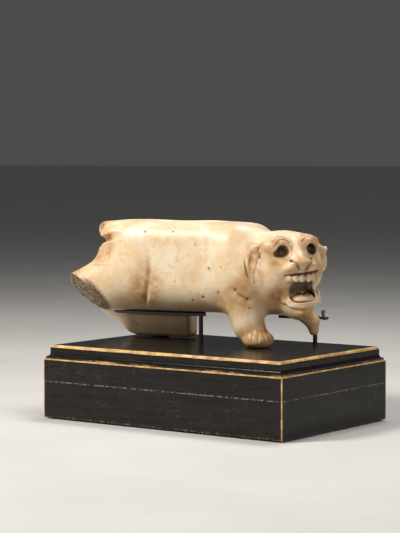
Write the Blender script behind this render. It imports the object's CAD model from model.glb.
import math

import bpy
import numpy as np
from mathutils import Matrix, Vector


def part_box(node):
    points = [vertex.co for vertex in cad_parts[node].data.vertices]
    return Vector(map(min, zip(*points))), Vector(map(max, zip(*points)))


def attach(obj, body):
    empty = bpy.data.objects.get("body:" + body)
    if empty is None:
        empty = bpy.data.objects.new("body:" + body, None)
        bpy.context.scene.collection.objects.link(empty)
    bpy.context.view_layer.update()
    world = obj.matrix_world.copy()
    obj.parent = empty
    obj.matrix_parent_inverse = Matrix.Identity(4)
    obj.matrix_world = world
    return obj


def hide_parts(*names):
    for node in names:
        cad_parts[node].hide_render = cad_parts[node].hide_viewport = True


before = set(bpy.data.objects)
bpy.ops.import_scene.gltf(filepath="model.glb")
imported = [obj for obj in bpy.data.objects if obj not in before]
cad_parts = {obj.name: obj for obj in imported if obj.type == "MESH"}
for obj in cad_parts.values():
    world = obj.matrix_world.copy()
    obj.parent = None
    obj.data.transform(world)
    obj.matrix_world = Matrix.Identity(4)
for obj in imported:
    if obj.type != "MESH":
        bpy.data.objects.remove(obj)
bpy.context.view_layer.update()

import openvdb
from mathutils import Matrix, Vector

MM = 0.001

# The carving's own frame: on the plinth's top face under the belly, +X to the head, +Y to the far side.
CARVING_X = -30.0 * MM
CARVING_Y = 16.7 * MM
CARVING_YAW = math.radians(10.0)
PLINTH_LOW, PLINTH_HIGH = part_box("plinth_top_board")
CARVING_FRAME = (Matrix.Translation((CARVING_X, CARVING_Y, PLINTH_HIGH[2]))
                 @ Matrix.Rotation(CARVING_YAW, 4, "Z"))


# ---- shapes: signed distances, in millimetres, negative inside ----

def array(values):
    return np.array(values, np.float32)


def ball(points, centre, radii):
    """An ellipsoid."""
    radii = array(radii)
    offset = points - array(centre)
    near = np.linalg.norm(offset / radii, axis=1)
    slope = np.linalg.norm(offset / (radii * radii), axis=1) + 1e-9
    return near * (near - 1.0) / slope


def limb(points, start, end, start_radius, end_radius):
    """A tapered stroke from one ball to another."""
    start, end = array(start), array(end)
    along = end - start
    share = np.clip(((points - start) @ along) / (along @ along + 1e-9), 0, 1)
    reach = np.linalg.norm(points - start - share[:, None] * along, axis=1)
    return reach - (start_radius + (end_radius - start_radius) * share)


def slab(points, centre, half, rounding):
    """A box with rounded edges."""
    offset = np.abs(points - array(centre)) - (array(half) - rounding)
    outside = np.linalg.norm(np.maximum(offset, 0), axis=1)
    return outside + np.minimum(offset.max(axis=1), 0) - rounding


def stroke(points, path, radii):
    """A line through several places, with a radius at each."""
    radii = np.broadcast_to(array(radii), len(path))
    spans = [limb(points, path[i], path[i + 1], radii[i], radii[i + 1]) for i in range(len(path) - 1)]
    return np.minimum.reduce(spans)


def join(a, b, soft):
    """Union with a fillet."""
    share = np.clip(0.5 + 0.5 * (b - a) / soft, 0, 1)
    return b + (a - b) * share - soft * share * (1 - share)


def keep(a, b, soft):
    """Intersection with a rounded edge."""
    return -join(-a, -b, soft)


def carve(a, b, soft):
    """Cut b out of a."""
    return -join(-a, b, soft)


def engraved(d, points, path, depth, width):
    """Sinks a line into the surface. The path is seen along Y, so the line follows the surface's depth."""
    flat = points.copy()
    flat[:, 1] = 0
    gap = stroke(flat, path, 0.0)
    return d + depth * np.exp(-(gap / width) ** 2)


def turned(points, centre, across, out):
    """Points in a small frame: x along across, y along out, z square to both."""
    across = array(across) / np.linalg.norm(across)
    out = array(out) - across * (array(out) @ across)
    out = out / np.linalg.norm(out)
    up = np.cross(across, out)
    offset = points - array(centre)
    return np.stack([offset @ across, offset @ out, offset @ up], axis=1)


def lumps(points, size, seed):
    """Soft random lumps between about -1 and 1."""
    random = np.random.default_rng(seed)
    total = np.zeros(len(points), np.float32)
    for _ in range(7):
        way = random.normal(size=3)
        way *= random.uniform(0.6, 1.6) * 2 * math.pi / (size * np.linalg.norm(way))
        total += np.sin(points @ array(way) + random.uniform(0, 2 * math.pi))
    return total / 4


# ---- the carving's anatomy ----

HEAD_CENTRE = (73.0, -4.0, 58.0)
HEAD_TURN = math.radians(43.8)
HEAD_ROLL = math.radians(5.0)
HEAD_REACH = 44.0
FACE_MIDDLE = 1.5
UPPER_TEETH = 8
TRUNK_MIDDLE = (-8, 0, 54.3)
TRUNK_HALF = (61, 25, 32.8)
BACK_HEIGHT = 86.9
BASIN_CENTRE = (-14, 0, 88.0)
BASIN_RADII = (42, 15.5, 16)
BREAK_POINT = (-89.0, -20.0, 46.0)
BREAK_NORMAL = (-0.497, -0.63, -0.596)
BREAK_LIMIT = -52.0


def head_points(points):
    """Points in the head's frame: x across the face, y out of it, z up."""
    out = array((math.cos(HEAD_TURN), -math.sin(HEAD_TURN), 0))
    level = array((math.sin(HEAD_TURN), math.cos(HEAD_TURN), 0))
    up = array((0, 0, 1))
    across = level * math.cos(HEAD_ROLL) + up * math.sin(HEAD_ROLL)
    crown = up * math.cos(HEAD_ROLL) - level * math.sin(HEAD_ROLL)
    offset = points - array(HEAD_CENTRE)
    return np.stack([offset @ across, offset @ out, offset @ crown], axis=1).astype(np.float32)


def skull_and_muzzle(face, both):
    """Skull, cheeks, brows, muzzle, nose and upper lip; both is the same on the two sides."""
    d = ball(face, (0, -1, 0.5), (23.2, 23, 22))
    d = join(d, ball(face, (-12.5, 7, -8), (9.5, 12, 14)), 6)
    d = join(d, ball(face, (14.5, 6, -6), (8.6, 12, 14)), 6)
    d = join(d, ball(both, (11, 11, 13), (9.5, 8.5, 6.5)), 6)
    d = join(d, ball(face, (2.4, 16.5, -2.8), (15.0, 11.8, 6.0)), 4)
    d = join(d, limb(face, (1.2, 12, 8), (1.2, 23.5, 2.4), 6.4, 4.6), 4)
    d = join(d, ball(face, (1.2, 26.0, 0.4), (8.2, 4.0, 3.6)), 1.8)
    for side in (-1, 1):
        d = join(d, ball(face, (1.4 + 6.2 * side, 24.2, -1.6), (5.0, 4.2, 3.4)), 1.2)
    lip = [(-10.8, 17.0, -6.4), (-6.4, 23.4, -5.6), (1.5, 27.2, -5.0), (9.4, 24.6, -4.8),
           (16.0, 18.2, -4.4)]
    return join(d, stroke(face, lip, (0.8, 1.2, 1.3, 1.2, 0.8)), 1.2)


def jaw_and_mouth(d, face):
    """The open jaw with its rim, the line under it and the tongue."""
    chin = limb(face, (3, 7, -31), (1.2, 17.5, -33.5), 7, 4.6)
    jaw = join(ball(face, (3.4, 8, -26), (13.4, 17, 12)), chin, 6)
    d = join(d, jaw, 5)
    throat = ball(face, (2.2, 17, -16), (10.2, 17, 8.6))
    throat = join(throat, ball(face, (3.2, 13, -23), (9.8, 12, 6.5)), 3)
    gape = slab(face, (2.8, 36, -17.0), (11.4, 18, 9.0), 5)
    d = carve(d, join(throat, gape, 2), 1.0)
    d = carve(d, ball(face, (4.0, 13.0, -26.6), (8.4, 8.6, 3.2)), 1.0)
    rim = [(-11, 8, -15), (-10.3, 12.5, -22.5), (-7.0, 19.2, -28.4), (1.5, 23.8, -29.9),
           (9, 22.8, -29.2), (14.2, 17.8, -27.0), (16.2, 12, -21)]
    d = join(d, stroke(face, rim, (0.7, 0.9, 0.95, 1.0, 1.0, 0.95, 0.8)), 1.6)
    under = [(-10.6, 14, -26.6), (-7.2, 20.6, -31.0), (1.5, 24.9, -32.4), (9, 23.8, -31.8),
             (14.6, 18.8, -30.0)]
    d = carve(d, stroke(face, under, (0.5, 0.9, 1.0, 1.0, 0.7)), 1.4)
    tongue = ball(face, (3.8, 14.4, -24.8), (8.4, 8.8, 4.3))
    tongue = carve(tongue, limb(face, (3.6, 7, -20.0), (3.9, 21, -21.4), 0.5, 0.6), 1.6)
    return join(d, tongue, 0.6)


def teeth(d, face):
    """A bow of uneven upper teeth and a lower fang at each corner."""
    for i in range(UPPER_TEETH):
        swing = -1.2 + 2.36 * i / (UPPER_TEETH - 1)
        outward = (math.sin(swing), math.cos(swing), 0)
        sideways = (math.cos(swing), -math.sin(swing), 0)
        place = (3.0 + 12.6 * outward[0], 13.6 + 12.4 * outward[1], -7.2 + 0.2 * math.sin(2.3 * i))
        length = 4.9 + 0.6 * math.sin(5.1 * i)
        tooth = turned(face, place, sideways, outward)
        crown = ball(tooth, (0.15 * math.sin(3.7 * i), 0, -0.45 * length), (2.25, 1.9, 0.75 * length))
        d = join(d, keep(crown, -length - tooth[:, 2], 0.8), 0.2)
    d = join(d, limb(face, (15.0, 16.6, -27.5), (15.6, 17.0, -20.8), 2.1, 1.0), 0.8)
    return join(d, limb(face, (-9.0, 14.6, -25.5), (-9.0, 14.9, -21.2), 1.5, 0.8), 0.8)


def eyes_and_lines(d, face):
    """Eye sockets with a low pupil, and the engraved lines of brows, nostrils, gum and cheek."""
    both = face - array((FACE_MIDDLE, 0, 0))
    both[:, 0] = np.abs(both[:, 0])
    for side, size in ((-1, 1.0), (1, 0.78)):
        d = carve(d, ball(face, (FACE_MIDDLE + 10.6 * side, 20, 9.4), (4.4 * size, 10.0, 4.5 * size)), 0.8)
        d = carve(d, ball(face, (FACE_MIDDLE + 12.6 * side, 17.5, 7.8), (4.0 * size, 5.5, 3.2 * size)), 1.4)
        d = join(d, ball(face, (FACE_MIDDLE + 10.4 * side, 12.6, 8.6), (2.3, 2.3, 2.3)), 0.3)
    front = face[:, 1] > 5
    for brow, depth in ((LOW_BROW, 0.5), (HIGH_BROW, 0.35)):
        d = np.where(front, engraved(d, both, brow, depth, 0.6), d)
    d = np.where(front, engraved(d, both, FROWN, 0.4, 0.8), d)
    for nostril in NOSTRILS:
        d = np.where(face[:, 1] > 16, engraved(d, face, nostril, 1.0, 0.75), d)
    d = np.where(face[:, 1] > 14, engraved(d, face, GUM, 0.7, 0.55), d)
    fold = [(-12.2, 17.5, -6.0), (-12.6, 15.5, -12), (-11.6, 13.5, -19)]
    return carve(d, stroke(face, fold, (0.6, 1.3, 0.8)), 1.2)


# lines seen from the front of the face: across and up
LOW_BROW = ((4.2, 0, 14.4), (7.2, 0, 16.8), (11.5, 0, 17.2), (16.5, 0, 13.0))
HIGH_BROW = ((4.8, 0, 17.8), (8.5, 0, 19.6), (12.8, 0, 19.2), (16.8, 0, 16.4))
FROWN = ((1.6, 0, 17.5), (2.4, 0, 12.5), (4.2, 0, 9.0))
NOSTRILS = (((-4.8, 0, 2.4), (-3.2, 0, 0.2), (-1.7, 0, -3.3)),
            ((10.4, 0, 2.2), (7.2, 0, 0.0), (3.3, 0, -3.3)))
GUM = ((-9.5, 0, -6.9), (-3, 0, -6.4), (4, 0, -6.3), (11, 0, -6.2), (15.6, 0, -6.2))


def near_ear(d, face):
    """A long leaf that lies flat on the neck."""
    leaf = turned(face, (-26.0, 5.2, 3.0), (0.78, 0.62, -0.16), (-0.61, 0.76, 0.1))
    tip = limb(leaf, (-0.6, 0, 0), (1.4, 0, -12.4), 3.6, 1.2)
    ear = join(ball(leaf, (-0.6, 0, 2.6), (4.9, 2.6, 9.6)), tip, 2.0)
    ear = carve(ear, ball(leaf, (-0.2, 3.4, 0.5), (2.5, 2.4, 7.8)), 1.0)
    ear = carve(ear, stroke(leaf, [(-2.5, 2.8, 8.5), (1.0, 3.0, 5.0), (4.0, 2.4, -1)], (0.4, 0.9, 0.5)), 0.8)
    d = join(d, ear, 0.9)
    edge = [(-5.6, 0.8, 7), (-5.8, 0.8, 1), (-3.6, 0.8, -7), (0.2, 0.6, -14)]
    d = carve(d, stroke(leaf, edge, (0.2, 0.45, 0.5, 0.35)), 0.9)
    return carve(d, stroke(leaf, [(4.9, 0.4, 7), (4.8, 0.6, 0), (3.8, 0.4, -8)], (0.3, 0.5, 0.3)), 1.0)


def far_ear(d, face):
    """The other ear stands out from the head and comes to a blunt point."""
    leaf = turned(face, (26.8, -3.5, 0.5), (0.93, -0.3, 0.25), (0.3, 0.93, 0))
    tip = limb(leaf, (1, 0, 2.5), (8.0, 0, 3.8), 3.2, 1.4)
    ear = join(ball(leaf, (0, 0, 0), (6.8, 2.6, 10.6)), tip, 2.5)
    ear = carve(ear, ball(leaf, (1.5, 2.6, 0), (3.6, 2.0, 7.0)), 1.0)
    return join(d, ear, 1.2)


def head(points):
    """The head with its far ear."""
    face = head_points(points)
    both = face.copy()
    both[:, 0] = np.abs(both[:, 0])
    d = skull_and_muzzle(face, both)
    d = jaw_and_mouth(d, face)
    d = teeth(d, face)
    d = eyes_and_lines(d, face)
    return far_ear(d, face)


def hind_quarters(d, points):
    """The near leg as far as its break, the tail stub, and the far leg folded under the belly."""
    d = join(d, limb(points, (-42, -8, 51), (-84, -15, 37.5), 19.5, 11.5), 9)
    d = join(d, limb(points, (-42, 8, 50), (-72, 16, 26), 20, 12), 8)
    tail = limb(points, (-54, -1, 78.5), (-66.6, -4, 79.0), 8.0, 6.7)
    tail = carve(tail, ball(points, (-71.2, -11.6, 81.2), (4.8, 4.6, 5.6)), 0.7)
    d = join(d, ball(points, (-62, -9, 37), (18, 14, 16)), 7)
    notch = [(-75, 8, 68.2), (-71.2, -8, 68.8), (-63, -18, 71.0), (-54, -23.5, 74.2), (-46, -26, 76.2)]
    d = carve(d, stroke(points, notch, (5.0, 4.6, 3.0, 1.6, 0.5)), 3.6)
    d = join(d, tail, 1.6)
    d = carve(d, ball(points, (-60, -27.5, 63), (7, 4.4, 6)), 4.0)
    heel = limb(points, (-66, 19, 24), (-58.5, 20, 10.5), 10.5, 8.6)
    foot = slab(points, (-36, 20.4, 9.9), (26.2, 8.2, 8.9), 3.4)
    back_of_foot = array((-0.62, 0, -0.785))
    foot = keep(foot, (points - array((-63.5, 20, 8))) @ back_of_foot, 2.0)
    sole_line = [(-60, 12, 14), (-48, 11.4, 9), (-30, 11.4, 6.4), (-12, 11.6, 5.6)]
    foot = carve(foot, stroke(points, sole_line, (0.6, 1.0, 1.1, 0.8)), 2.0)
    toe_line = [(-15.0, 12, 18.5), (-14.4, 11.8, 9), (-14.8, 12, 2)]
    foot = carve(foot, stroke(points, toe_line, (0.5, 0.7, 0.5)), 0.8)
    return join(join(d, heel, 5), foot, 2.5)


def fore_quarters(d, points):
    """Shoulders, neck, the near leg with its paw, and the far leg's stump."""
    both = points.copy()
    both[:, 1] = np.abs(both[:, 1])
    d = join(d, ball(both, (38, 10, 51), (22, 16.5, 27)), 8)
    d = join(d, limb(points, (42, 0, 54), (66, -3, 52), 28, 25.4), 10)
    d = join(d, ball(points, (65, -1, 38.2), (20, 16.5, 16.6)), 8)
    d = join(d, limb(points, (43, -12.5, 44), (51.5, -18, 14.5), 16.5, 10.8), 8)
    d = join(d, limb(points, (52.5, -18.5, 13.5), (57.5, -19.5, 8.5), 10.0, 8.6), 3)
    paw = ball(points, (60, -20.2, 5.2), (10.8, 10.8, 6.6))
    paw = keep(paw, slab(points, (60, -20, 0), (14, 14, 10.6), 3), 2)
    d = join(d, paw, 2.2)
    for turn in (-92, -66, -40, -14, 12):
        x = math.cos(math.radians(turn))
        y = math.sin(math.radians(turn))
        toe = [(60 + reach * x, -20.2 + reach * y, height)
               for reach, height in ((5.5, 11.4), (9.6, 8.4), (11.2, 3.6))]
        d = carve(d, stroke(points, toe, (0.1, 0.3, 0.35)), 0.9)
    d = join(d, limb(points, (60, 10, 42), (86, 13.5, 16), 12, 5.0), 8)
    return join(d, limb(points, (86, 13.5, 16), (87, 13.5, 9.8), 4.5, 3.4), 2)


def carving(points):
    """The whole carving's signed distance."""
    points = points.astype(np.float32)
    upper = slab(points, TRUNK_MIDDLE, TRUNK_HALF, 16)
    lower = slab(points, TRUNK_MIDDLE, TRUNK_HALF, 22)
    d = np.where(points[:, 2] > TRUNK_MIDDLE[2], upper, lower)
    d = hind_quarters(d, points)
    d = fore_quarters(d, points)
    close = np.linalg.norm(points - array(HEAD_CENTRE), axis=1) < HEAD_REACH
    if close.any():
        d[close] = join(d[close], head(points[close]), 4)
        d[close] = near_ear(d[close], head_points(points[close]))
    arch = BACK_HEIGHT - 0.00065 * (points[:, 0] + 20) ** 2
    d = keep(d, points[:, 2] - (arch + 0.05 * np.minimum(points[:, 1], 0)), 3.0)
    d = carve(d, ball(points, BASIN_CENTRE, BASIN_RADII), 0.9)
    depth = (points - array(BREAK_POINT)) @ array(BREAK_NORMAL)
    across = np.linalg.norm(points - array(BREAK_POINT), axis=1)
    rough = 0.45 * lumps(points, 9.0, 3) + 0.3 * lumps(points, 3.2, 4) + 0.16 * lumps(points, 1.5, 6)
    rough -= 1.6 * np.exp(-(across / 10.0) ** 2) + 0.2
    depth = np.where(points[:, 0] < BREAK_LIMIT, depth - rough, -99)
    d = keep(d, depth, 0.5)
    near_side = np.clip(-0.2 * points[:, 1] - 1, 0, 1)
    either_side = np.clip(0.2 * np.abs(points[:, 1]) - 1, 0, 1)
    low = np.clip((78 - points[:, 2]) / 30, 0.2, 1)
    d = d + either_side * low * engraved(0, points, GROOVE, 1.25, 1.9)
    d = d + near_side * engraved(0, points, CRACK, 0.4, 0.5)
    for place, size in PITS:
        d = d + near_side * engraved(0, points, (place, place), 0.55 * size, 0.8 * size)
    d = d + 0.1 * lumps(points, 24.0, 5)
    return keep(d, 0.2 - points[:, 2], 0.4)


# lines seen from the side of the carving: along it and up
GROOVE = ((-24.9, 0, 69.5), (-22.6, 0, 62.6), (-22.0, 0, 55), (-22.4, 0, 48), (-23.4, 0, 41),
          (-25.9, 0, 34), (-29.5, 0, 28))
CRACK = ((47.0, 0, 39.5), (49.4, 0, 36.8), (52.0, 0, 35.0), (54.4, 0, 33.4))

# the place and the size of each pit, seen the same way
PITS = (((-26.3, 0, 78.4), 1.0), ((-4.3, 0, 78.8), 0.8), ((25.7, 0, 53.6), 1.3), ((18.9, 0, 33.4), 1.2),
        ((10.2, 0, 30.9), 0.9), ((55.9, 0, 26.9), 0.9), ((33.1, 0, 37.2), 1.0), ((14.0, 0, 70.0), 0.7),
        ((36.0, 0, 55.0), 0.6), ((-2.0, 0, 44.0), 0.6), ((46.8, 0, 39.8), 1.4), ((54.6, 0, 33.2), 1.2))


# ---- meshing ----

VOXEL = 0.5
BLOCK = 8
BATCH = 400
FIELD_LOW = (-102.0, -37.0, -2.0)
FIELD_HIGH = (110.0, 33.0, 92.0)
FAR = 10.0


def grid_places(axes):
    """Every place on a grid, one row each."""
    return np.stack(np.meshgrid(*axes, indexing="ij"), axis=-1).reshape(-1, 3)


def field(shape, low, high, voxel):
    """Samples a shape on a grid, in full only near its surface."""
    counts = [int(math.ceil((b - a) / (voxel * BLOCK))) for a, b in zip(low, high)]
    values = np.full([n * BLOCK for n in counts], FAR, np.float32)
    starts = grid_places([np.arange(n) * BLOCK for n in counts])
    middles = array(low) + (starts + (BLOCK - 1) / 2) * voxel
    rough = shape(middles.astype(np.float32))
    inner = grid_places([np.arange(BLOCK)] * 3)
    for x, y, z in starts[rough < -FAR / 2]:
        values[x:x + BLOCK, y:y + BLOCK, z:z + BLOCK] = -FAR
    near = starts[np.abs(rough) < BLOCK * voxel * 1.5]
    for first in range(0, len(near), BATCH):
        cells = (near[first:first + BATCH, None, :] + inner[None]).reshape(-1, 3)
        values[tuple(cells.T)] = shape((array(low) + cells * voxel).astype(np.float32))
    return values


def largest_part(points, faces):
    """The biggest connected part alone, so that no bubble is left inside it."""
    group = np.arange(len(points))
    starts = faces.ravel()
    ends = np.roll(faces, 1, axis=1).ravel()
    while (group[starts] != group[ends]).any():
        lowest = np.minimum(group[starts], group[ends])
        np.minimum.at(group, group[starts], lowest)
        np.minimum.at(group, group[ends], lowest)
        group = group[group]
    kept = group == np.bincount(group).argmax()
    index = np.cumsum(kept) - 1
    return points[kept], index[faces[kept[faces[:, 0]]]]


def surface(shape, low, high, voxel):
    """The shape's surface, as points in millimetres and four-sided faces."""
    grid = openvdb.FloatGrid(FAR)
    grid.copyFromArray(field(shape, low, high, voxel))
    points, _, faces = grid.convertToPolygons(0.0, 0.0)
    return largest_part(array(low) + points * voxel, faces.astype(np.int64))


def outward_ways(shape, points):
    """The surface's outward directions."""
    steps = 0.25 * np.eye(3, dtype=np.float32)
    around = [shape(points + step) - shape(points - step) for step in steps]
    way = np.stack(around, axis=1)
    return way / (np.linalg.norm(way, axis=1)[:, None] + 1e-9)


def near_any(points, places, reach):
    """1 at the given places, falling to 0 at the reach."""
    gaps = [np.linalg.norm(points - array(place), axis=1) for place in places]
    return np.clip(1 - np.minimum.reduce(gaps) / reach, 0, 1)


def smooth(values, low, high):
    """0 below low, rising softly to 1 above high."""
    share = np.clip((values - low) / (high - low), 0, 1)
    return share * share * (3 - 2 * share)


def shaded(points, face):
    """1 in the mouth, the eyes and the engraved lines, which hold dark dirt."""
    from_mouth = np.linalg.norm((face - array(MOUTH_CENTRE)) / array(MOUTH_RADII), axis=1)
    mouth = smooth(-from_mouth, -1.1, -0.8)
    eyes = smooth(near_any(face, EYES, 8.0), 0.1, 0.6)
    marks = engraved(0, points, GROOVE, 0.32, 1.6) * smooth(-points[:, 2], -70.0, -40.0)
    marks = np.maximum(marks, engraved(0, points, CRACK, 0.55, 0.7))
    for place, size in PITS:
        marks = np.maximum(marks, engraved(0, points, (place, place), 0.9, 0.9 * size))
    near_side = points[:, 1] < -10
    lines = 0
    for path, first in ((NOSTRILS[0], 16), (NOSTRILS[1], 16), (GUM, 14)):
        lines = np.maximum(lines, engraved(0, face, path, 0.7, 0.8) * (face[:, 1] > first))
    both = np.abs(face - array((FACE_MIDDLE, 0, 0))) * array((1, 0, 0)) + face * array((0, 0, 1))
    for brow in (LOW_BROW, HIGH_BROW):
        lines = np.maximum(lines, engraved(0, both, brow, 0.32, 0.7) * (face[:, 1] > 8))
    tail = 0.7 * near_any(points, (TAIL_FACET,), 5.0)
    return np.maximum.reduce([mouth, eyes, marks * near_side, lines, tail])


def surface_values(points):
    """What the stone's material needs to know at each point, between 0 and 1."""
    outward = outward_ways(carving, points)
    face = head_points(points)
    at_break = smooth(-np.abs((points - array(BREAK_POINT)) @ array(BREAK_NORMAL)), -5.0, -2.5)
    facing_break = smooth(outward @ array(BREAK_NORMAL), 0.35, 0.75)
    stained = np.maximum(near_any(points, STAINS, 17.0), near_any(face, FACE_STAINS, 12.0))
    return {
        "hollow": np.clip(0.62 - carving(points + 2.6 * outward) / 2.6 * 0.62, 0, 1),
        "wide_hollow": np.clip(0.9 - carving(points + 9.0 * outward) / 9.0 * 0.9, 0, 1),
        "ridge": np.clip(carving(points - 1.3 * outward) / 1.3 + 1.0, 0, 1),
        "broken": at_break * facing_break * (points[:, 0] < BREAK_LIMIT),
        "stained": smooth(stained, 0.0, 0.6),
        "shade": shaded(points, face),
    }


def carving_object():
    """The carving as one mesh, with its recesses, its break and its stains kept as attributes."""
    points, faces = surface(carving, FIELD_LOW, FIELD_HIGH, VOXEL)
    points = points.astype(np.float32)
    mesh = bpy.data.meshes.new("effigy_carving")
    mesh.from_pydata((points * MM).tolist(), [], faces.tolist())
    mesh.transform(CARVING_FRAME)
    mesh.update()
    mesh.shade_smooth()
    for name, value in surface_values(points).items():
        layer = mesh.attributes.new(name, "FLOAT", "POINT")
        layer.data.foreach_set("value", np.ascontiguousarray(value, np.float32))
    return bpy.data.objects.new("effigy_carving", mesh)


# middles of the honey-coloured stains and of the darkened places, in the carving's frame
STAINS = ((-72.0, -8.0, 76.0), (-62.0, -20.0, 68.0), (-26.0, -24.0, 33.0), (-24.0, -25.0, 41.0),
          (50.0, -29.0, 36.0), (-88.0, -17.0, 52.0), (60.0, -24.0, 6.0), (38.0, -22.0, 30.0))
TAIL_FACET = (-69.8, -9.2, 81.0)

# the same in the head's frame
FACE_STAINS = ((1.2, 28.0, -2.0), (12.0, 19.0, 14.0), (-9.0, 20.0, 14.5), (-13.5, 17.0, 7.0),
               (-27.0, 6.0, -7.0), (-23.0, 8.0, 9.0), (3.0, 20.0, -34.0), (-11.0, 14.0, -21.0),
               (14.0, 19.0, -6.0), (26.0, 0.0, 0.0))
EYES = [(FACE_MIDDLE + across, 14.0, 9.0) for across in (-10.8, 10.8)]
MOUTH_CENTRE = (2.5, 9, -16)
MOUTH_RADII = (12, 14, 9.0)


# ---- materials ----

class Look:
    """A material's nodes, written as sums."""

    def __init__(self, name):
        self.material = bpy.data.materials.new(name)
        self.material.use_nodes = True
        self.nodes = self.material.node_tree.nodes
        self.links = self.material.node_tree.links
        self.shader = self.nodes["Principled BSDF"]
        self.place = self.add("ShaderNodeTexCoord").outputs["Object"]
        self.normal = None

    def add(self, kind, **settings):
        node = self.nodes.new(kind)
        for name, value in settings.items():
            setattr(node, name, value)
        return node

    def feed(self, socket, value):
        """Links a node's output to a socket, or sets a plain value on it."""
        if isinstance(value, bpy.types.NodeSocket):
            self.links.new(value, socket)
        else:
            socket.default_value = value

    def math(self, operation, a, b=0.0):
        """A sum of two numbers or sockets."""
        node = self.add("ShaderNodeMath", operation=operation)
        self.feed(node.inputs[0], a)
        self.feed(node.inputs[1], b)
        return node.outputs[0]

    def times(self, a, b):
        return self.math("MULTIPLY", a, b)

    def plus(self, a, b):
        return self.math("ADD", a, b)

    def most(self, *values):
        """The largest of several."""
        result = values[0]
        for value in values[1:]:
            result = self.math("MAXIMUM", result, value)
        return result

    def step(self, value, low, high, top=1.0):
        """0 below low, rising softly to top above high; low may be the larger."""
        node = self.add("ShaderNodeMapRange", interpolation_type="SMOOTHSTEP")
        self.feed(node.inputs["Value"], value)
        node.inputs["From Min"].default_value = min(low, high)
        node.inputs["From Max"].default_value = max(low, high)
        node.inputs["To Min"].default_value = 0.0 if low < high else top
        node.inputs["To Max"].default_value = top if low < high else 0.0
        return node.outputs["Result"]

    def stretched(self, x, y, z):
        """The place, with each axis scaled; under 1 draws a texture out along that axis."""
        node = self.add("ShaderNodeMapping")
        self.feed(node.inputs["Vector"], self.place)
        node.inputs["Scale"].default_value = (x, y, z)
        return node.outputs["Vector"]

    def noise(self, size, detail=4.0, warp=0.0, place=None, rough=0.55):
        """Noise whose lumps are about size millimetres."""
        node = self.add("ShaderNodeTexNoise")
        self.feed(node.inputs["Vector"], place or self.place)
        node.inputs["Scale"].default_value = 1.0 / (size * MM)
        node.inputs["Detail"].default_value = detail
        node.inputs["Roughness"].default_value = rough
        node.inputs["Distortion"].default_value = warp
        return node.outputs["Fac"]

    def cells(self, size):
        """Distance to the nearest of scattered points, about size millimetres apart."""
        node = self.add("ShaderNodeTexVoronoi", feature="F1")
        self.feed(node.inputs["Vector"], self.place)
        node.inputs["Scale"].default_value = 1.0 / (size * MM)
        return node.outputs["Distance"]

    def attribute(self, name):
        """A value kept on the mesh."""
        return self.add("ShaderNodeAttribute", attribute_name=name).outputs["Fac"]

    def axis(self, index):
        """The place along one axis, in metres."""
        node = self.add("ShaderNodeSeparateXYZ")
        self.feed(node.inputs[0], self.place)
        return node.outputs[index]

    def mix(self, share, a, b):
        """Colour a, turning into colour b as share goes from 0 to 1."""
        node = self.add("ShaderNodeMix", data_type="RGBA")
        self.feed(node.inputs["Factor"], share)
        for socket, value in ((node.inputs[6], a), (node.inputs[7], b)):
            self.feed(socket, value if isinstance(value, bpy.types.NodeSocket) else (*value, 1.0))
        return node.outputs[2]

    def bump(self, height, depth, strength=1.0):
        """Raises the surface by up to depth millimetres."""
        node = self.add("ShaderNodeBump")
        node.inputs["Strength"].default_value = strength
        node.inputs["Distance"].default_value = depth * MM
        self.feed(node.inputs["Height"], height)
        if self.normal:
            self.feed(node.inputs["Normal"], self.normal)
        self.normal = node.outputs["Normal"]

    def edges(self, radius):
        """1 along sharp edges, within about radius millimetres."""
        bevel = self.add("ShaderNodeBevel", samples=6)
        bevel.inputs["Radius"].default_value = radius * MM
        flat = self.add("ShaderNodeNewGeometry").outputs["Normal"]
        node = self.add("ShaderNodeVectorMath", operation="DOT_PRODUCT")
        self.feed(node.inputs[0], bevel.outputs["Normal"])
        self.feed(node.inputs[1], flat)
        return self.step(node.outputs["Value"], 0.995, 0.9)

    def finish(self, colour, roughness, **fixed):
        """Feeds the shader, and sets the inputs that are the same all over."""
        self.feed(self.shader.inputs["Base Color"], colour)
        self.feed(self.shader.inputs["Roughness"], roughness)
        for name, value in fixed.items():
            self.shader.inputs[name.replace("_", " ")].default_value = value
        if self.normal:
            self.feed(self.shader.inputs["Normal"], self.normal)
        return self.material


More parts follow.
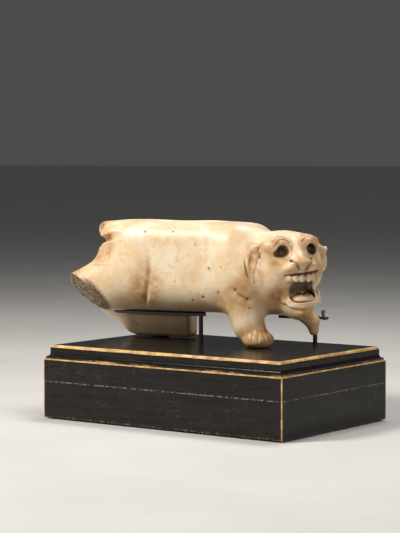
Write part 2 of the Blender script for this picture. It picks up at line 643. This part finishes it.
def alabaster():
    """Pale banded stone, honey-coloured in its hollows and stains, crystalline where it is broken."""
    look = Look("alabaster")
    hollow = look.attribute("hollow")
    wide = look.attribute("wide_hollow")
    broken = look.attribute("broken")
    stained = look.attribute("stained")
    ridge = look.attribute("ridge")
    cloud = look.noise(26, 5, 0.6)
    colour = look.mix(look.step(cloud, 0.36, 0.64), (0.76, 0.56, 0.34), (0.85, 0.73, 0.54))
    low = look.step(look.plus(look.axis(2), look.times(look.noise(14, 4), 0.05)), 0.145, 0.080, 0.45)
    colour = look.mix(low, colour, (0.60, 0.37, 0.16))
    blush = look.step(look.noise(11, 4, 1.2), 0.5, 0.72, 0.55)
    colour = look.mix(blush, colour, (0.68, 0.43, 0.20))
    honey = look.step(look.plus(wide, look.times(look.noise(6, 4), 0.35)), 0.36, 1.0, 0.85)
    colour = look.mix(honey, colour, (0.47, 0.25, 0.085))
    patch = look.times(stained, look.step(look.noise(6, 4, 0.4), 0.18, 0.66))
    colour = look.mix(look.times(patch, 0.9), colour, (0.50, 0.25, 0.075))
    dirt = look.step(look.plus(hollow, look.times(look.noise(2.4, 5), 0.5)), 0.62, 1.15, 0.92)
    colour = look.mix(dirt, colour, (0.11, 0.055, 0.022))
    colour = look.mix(look.times(look.attribute("shade"), 0.93), colour, (0.042, 0.018, 0.008))
    vein = look.math("ABSOLUTE", look.plus(look.noise(17, 6, 1.6), -0.5))
    vein = look.times(look.step(vein, 0.02, 0.0), look.step(look.noise(30), 0.5, 0.62))
    colour = look.mix(look.times(vein, 0.4), colour, (0.55, 0.36, 0.18))
    speck = look.step(look.cells(2.6), 0.16, 0.08)
    speck = look.times(speck, look.step(look.noise(9, 3), 0.56, 0.66))
    colour = look.mix(look.times(speck, 0.7), colour, (0.22, 0.12, 0.055))
    scratches = scratch_lines(look, 1.6, 0.05)
    colour = look.mix(look.times(scratches, 0.35), colour, (0.93, 0.86, 0.72))
    grit = look.noise(1.3, 6, 0.4)
    crystal = look.mix(look.step(grit, 0.38, 0.62), (0.055, 0.033, 0.019), (0.31, 0.21, 0.13))
    glint = look.step(look.cells(0.9), 0.24, 0.1)
    crystal = look.mix(look.times(glint, 0.5), crystal, (0.80, 0.72, 0.58))
    colour = look.mix(broken, colour, crystal)
    rub = look.times(look.step(ridge, 0.3, 0.75), look.step(look.noise(4, 4), 0.4, 0.6, 0.5))
    colour = look.mix(rub, colour, (0.93, 0.86, 0.73))
    polish = look.plus(0.30, look.times(look.noise(7, 5), 0.20))
    rough = look.plus(polish, look.plus(look.times(broken, 0.35), look.times(hollow, 0.2)))
    look.bump(look.noise(9, 3), 0.30, 0.5)
    look.bump(look.noise(1.1, 5), 0.05, 0.6)
    look.bump(scratches, 0.05, 0.6)
    look.bump(look.times(look.plus(grit, glint), broken), 0.6, 0.9)
    look.bump(look.times(speck, -1.0), 0.18, 0.8)
    return look.finish(colour, rough, Subsurface_Weight=0.10, Subsurface_Scale=0.003, IOR=1.5,
                       Subsurface_Radius=(1.0, 0.55, 0.28), Specular_IOR_Level=0.45)


def scratch_lines(look, spacing, width):
    """Fine scratches that run two ways."""
    total = None
    for x, y, z in ((0.08, 1.0, 1.0), (1.0, 0.9, 0.07)):
        wave = look.noise(spacing, 2, 0.5, look.stretched(x, y, z))
        line = look.step(look.math("ABSOLUTE", look.plus(wave, -0.5)), width / 4, 0.0)
        line = look.times(line, look.step(look.noise(13 + 9 * z, 2), 0.55, 0.64))
        total = line if total is None else look.most(total, line)
    return total


def lacquer(name, low, high, worn_bands):
    """Black lacquer over wood, worn to tan along its edges, with dust and scratches."""
    look = Look(name)
    x, y, z = [look.axis(i) for i in range(3)]
    half_x = (PLINTH_HIGH[0] - PLINTH_LOW[0]) / 2
    half_y = (PLINTH_HIGH[1] - PLINTH_LOW[1]) / 2
    in_x = look.plus(look.math("ABSOLUTE", x), -half_x)
    in_y = look.plus(look.math("ABSOLUTE", y), -half_y)
    rim = look.most(in_x, in_y)
    grain = look.noise(3.0, 6, 0.7, look.stretched(0.10, 1.0, 1.0), 0.65)
    cloud = look.noise(22, 4)
    colour = look.mix(look.step(grain, 0.35, 0.7), (0.006, 0.0055, 0.005), (0.016, 0.013, 0.011))
    chew = look.plus(look.times(look.noise(3.5, 4, 0.5), 0.35), look.times(look.noise(24, 2), 0.8))
    worn = 0.0
    for band_z, reach, inset, strength in worn_bands:
        close = look.math("ABSOLUTE", look.plus(z, -band_z))
        outside = look.math("ABSOLUTE", look.plus(rim, inset))
        gap = look.most(close, outside)
        line = look.step(look.plus(look.times(gap, 1.0 / reach), look.times(chew, 0.9)), 1.45, 1.2, strength)
        worn = look.most(worn, line)
    corner = look.most(look.math("ABSOLUTE", in_x), look.math("ABSOLUTE", in_y))
    line = look.step(look.plus(look.times(corner, 1.0 / CORNER_WEAR), look.times(chew, 0.9)), 1.4, 1.1, 0.85)
    worn = look.most(worn, line)
    seam = look.math("ABSOLUTE", look.plus(z, -SEAM_HEIGHT))
    chip = look.times(look.step(seam, 0.0005, 0.0002), look.step(look.noise(1.6, 5), 0.44, 0.56, 0.6))
    foot = look.times(look.step(z, 0.0032, 0.0012), look.step(look.noise(1.3, 5), 0.52, 0.62, 0.55))
    chip = look.most(chip, foot)
    tan = look.mix(look.step(look.noise(6, 5), 0.35, 0.65), (0.44, 0.25, 0.085), (0.78, 0.52, 0.23))
    colour = look.mix(worn, colour, tan)
    colour = look.mix(chip, colour, (0.36, 0.31, 0.25))
    dust_low = look.step(z, high, low, 0.6)
    dust_share = look.step(look.plus(cloud, dust_low), 0.42, 1.0)
    dust = look.times(look.step(look.noise(0.9, 6, 0.2), 0.60, 0.70), dust_share)
    colour = look.mix(look.times(dust, 0.35), colour, (0.22, 0.18, 0.15))
    fleck = look.times(look.step(look.cells(1.7), 0.11, 0.05), look.step(look.noise(8, 3), 0.5, 0.6))
    colour = look.mix(look.times(fleck, 0.6), colour, (0.42, 0.36, 0.29))
    scratches = scratch_lines(look, 2.2, 0.05)
    colour = look.mix(look.times(scratches, 0.35), colour, (0.14, 0.12, 0.10))
    haze = look.plus(0.14, look.times(look.noise(15, 5), 0.22))
    rough = look.plus(haze, look.plus(look.times(worn, 0.25), look.times(dust, 0.35)))
    look.bump(grain, 0.10, 0.5)
    look.bump(look.noise(0.5, 3), 0.02, 0.6)
    look.bump(look.times(worn, -1.0), 0.12, 0.6)
    look.bump(look.times(scratches, -1.0), 0.03, 0.6)
    return look.finish(colour, rough, Coat_Weight=0.08, Coat_Roughness=0.12, Specular_IOR_Level=0.16)


def blackened_steel(name, dark, roughness):
    """Black steel, rubbed bare along its edges, with a few chips."""
    look = Look(name)
    chips = look.times(look.step(look.noise(0.8, 5), 0.62, 0.70), look.step(look.noise(5, 3), 0.48, 0.62))
    rubbed = look.times(look.edges(0.3), look.step(look.noise(1.4, 4), 0.42, 0.62))
    bare = look.most(chips, rubbed)
    base = look.mix(look.noise(3, 4), dark, tuple(2.2 * c for c in dark))
    colour = look.mix(look.times(bare, 0.7), base, (0.32, 0.29, 0.26))
    dust = look.step(look.noise(0.5, 5), 0.6, 0.75, 0.4)
    colour = look.mix(dust, colour, (0.10, 0.085, 0.07))
    rough = look.plus(roughness, look.times(look.noise(1.6, 4), 0.25))
    look.bump(look.noise(0.7, 5), 0.02, 0.6)
    look.bump(look.times(chips, -1.0), 0.03, 0.8)
    return look.finish(colour, rough, Specular_IOR_Level=0.6, Coat_Weight=0.25, Coat_Roughness=0.15)


def bare_metal(name, light, dark, tarnish):
    """Turned metal with stains and tarnish."""
    look = Look(name)
    turned_marks = look.noise(0.35, 3, 0.1, look.stretched(1, 1, 6))
    stain = look.step(look.noise(2.4, 5, 0.8), 0.42, 0.66)
    colour = look.mix(look.times(stain, 0.75), light, dark)
    colour = look.mix(look.step(look.noise(0.9, 5), 0.58, 0.72, 0.8), colour, tarnish)
    rough = look.plus(0.24, look.plus(look.times(turned_marks, 0.2), look.times(stain, 0.2)))
    look.bump(turned_marks, 0.012, 0.6)
    look.bump(look.noise(0.6, 5), 0.015, 0.6)
    return look.finish(colour, rough, Metallic=1.0)


def woollen(name, dark, light, fibre):
    """Felt or baize: matted fibres that catch a little light."""
    look = Look(name)
    mat = look.noise(fibre, 8, 1.4, None, 0.7)
    pill = look.step(look.cells(fibre * 4), 0.5, 0.1)
    colour = look.mix(look.step(mat, 0.32, 0.7), dark, light)
    colour = look.mix(look.step(look.noise(9, 4), 0.45, 0.75, 0.35), colour, tuple(0.5 * c for c in dark))
    look.bump(mat, 0.25, 0.9)
    look.bump(pill, 0.12, 0.5)
    return look.finish(colour, 0.92, Sheen_Weight=0.5, Sheen_Roughness=0.5, Specular_IOR_Level=0.15)


def clear_tube():
    """Soft clear tube, a little yellow and hazy."""
    look = Look("clear_sleeve")
    haze = look.noise(0.8, 5)
    colour = look.mix(look.step(haze, 0.4, 0.7), (0.86, 0.83, 0.76), (0.72, 0.68, 0.58))
    look.bump(look.noise(0.5, 3), 0.02, 0.5)
    return look.finish(colour, look.plus(0.1, look.times(haze, 0.22)), Transmission_Weight=0.85, IOR=1.46)


SLOT_LOOKS = {
    "ebonised_top": lambda: lacquer("ebonised_top", PLINTH_LOW[2], PLINTH_HIGH[2], TOP_BANDS),
    "ebonised_base": lambda: lacquer("ebonised_base", BASE_LOW[2], BASE_HIGH[2], BASE_BANDS),
    "screw_steel": lambda: bare_metal("screw_steel", (0.55, 0.54, 0.52), (0.30, 0.28, 0.26),
                                      (0.20, 0.10, 0.05)),
    "washer_brass": lambda: bare_metal("washer_brass", (0.72, 0.52, 0.22), (0.42, 0.27, 0.10),
                                       (0.14, 0.10, 0.05)),
    "nut_brass": lambda: bare_metal("nut_brass", (0.78, 0.58, 0.26), (0.46, 0.30, 0.12),
                                    (0.16, 0.11, 0.05)),
    "blackened_post": lambda: blackened_steel("blackened_post", (0.010, 0.0095, 0.009), 0.20),
    "blackened_bar": lambda: blackened_steel("blackened_bar", (0.013, 0.012, 0.011), 0.28),
    "prong_rod": lambda: blackened_steel("prong_rod", (0.016, 0.014, 0.012), 0.24),
    "clear_sleeve": clear_tube,
    "felt_pad": lambda: woollen("felt_pad", (0.012, 0.011, 0.010), (0.050, 0.045, 0.040), 0.5),
    "baize": lambda: woollen("baize", (0.008, 0.030, 0.016), (0.030, 0.090, 0.050), 0.8),
}
SLOT_NODES = {
    "ebonised_top": ["plinth_top_board"],
    "ebonised_base": ["plinth_base_board"],
    "screw_steel": ["board_screws"],
    "washer_brass": ["post_washers"],
    "nut_brass": ["post_nuts"],
    "blackened_post": ["front_post", "rear_post"],
    "blackened_bar": ["front_arm", "rear_cradle_bar"],
    "prong_rod": ["front_prong", "rear_prong"],
    "clear_sleeve": ["front_prong_sleeve", "rear_prong_sleeve"],
    "felt_pad": ["foot_pad", "rear_saddle_pad"],
    "baize": ["baize_sheet"],
}
BASE_LOW, BASE_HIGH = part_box("plinth_base_board")
RIM_HEIGHT = 9.5 * MM
LEDGE = PLINTH_HIGH[2] - RIM_HEIGHT
SEAM_HEIGHT = BASE_HIGH[2]
CORNER_WEAR = 0.9 * MM

# bands of wear: height, how far the wear reaches, how far in from the plinth's sides, strength
TOP_BANDS = ((LEDGE, 0.0010, 0.0003, 1.0), (PLINTH_HIGH[2] - 0.9 * MM, 0.0012, 0.0043, 1.0))
BASE_BANDS = ()


def dress_nodes():
    """Gives every CAD node that is shown its own look."""
    for name, nodes in SLOT_NODES.items():
        material = SLOT_LOOKS[name]()
        for node in nodes:
            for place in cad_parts[node].material_slots:
                place.material = material


# ---- floor, light and camera ----

def floor():
    """A plain pale floor, wide enough to run out of sight."""
    mesh = bpy.data.meshes.new("floor")
    half = 30.0
    corners = [(-half, -half, 0), (half, -half, 0), (half, half, 0), (-half, half, 0)]
    mesh.from_pydata(corners, [], [(0, 1, 2, 3)])
    ground = bpy.data.objects.new("floor", mesh)
    bpy.context.scene.collection.objects.link(ground)
    look = Look("floor")
    tone = look.step(look.noise(160, 4), 0.3, 0.7)
    colour = look.mix(tone, (0.62, 0.61, 0.59), (0.68, 0.67, 0.65))
    mesh.materials.append(look.finish(colour, 0.6))


def lamp(name, place, aim, size, watts, colour):
    """A soft rectangular lamp that faces its aim."""
    data = bpy.data.lights.new(name, "AREA")
    data.shape = "RECTANGLE"
    data.size, data.size_y = size
    data.energy = watts
    data.color = colour
    thing = bpy.data.objects.new(name, data)
    thing.location = place
    thing.rotation_euler = (Vector(aim) - Vector(place)).to_track_quat("-Z", "Y").to_euler()
    bpy.context.scene.collection.objects.link(thing)


def lights():
    """A warm key from the near left, a top light, a low fill from the head's side and a dim room."""
    middle = (-0.02, 0.0, 0.09)
    lamp("key", (-0.45, -0.80, 0.85), middle, (0.30, 0.26), 15.6, (1.0, 0.96, 0.90))
    lamp("top", (0.05, 0.30, 0.95), middle, (0.5, 0.3), 6.0, (1.0, 0.98, 0.95))
    lamp("fill", (1.0, -0.25, 0.40), middle, (0.4, 0.5), 2.2, (1.0, 0.95, 0.88))
    world = bpy.data.worlds.new("studio")
    world.use_nodes = True
    background = world.node_tree.nodes["Background"]
    background.inputs["Color"].default_value = (0.72, 0.72, 0.73, 1.0)
    background.inputs["Strength"].default_value = 0.10
    bpy.context.scene.world = world
    bpy.context.scene.view_settings.view_transform = "Standard"


def camera():
    """A long lens from the near right, a little above the plinth."""
    data = bpy.data.cameras.new("camera")
    data.sensor_width = 36.0
    data.lens = 127.13
    data.clip_start = 0.05
    thing = bpy.data.objects.new("camera", data)
    thing.location = (0.7616, -1.0574, 0.1824)
    thing.rotation_euler = (math.radians(90.0 - 3.33), math.radians(0.1), math.radians(36.18))
    bpy.context.scene.collection.objects.link(thing)
    bpy.context.scene.camera = thing


carved = carving_object()
bpy.context.scene.collection.objects.link(carved)
carved.data.materials.append(alabaster())
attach(carved, "carving")
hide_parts("effigy_mortar")
dress_nodes()
floor()
lights()
camera()
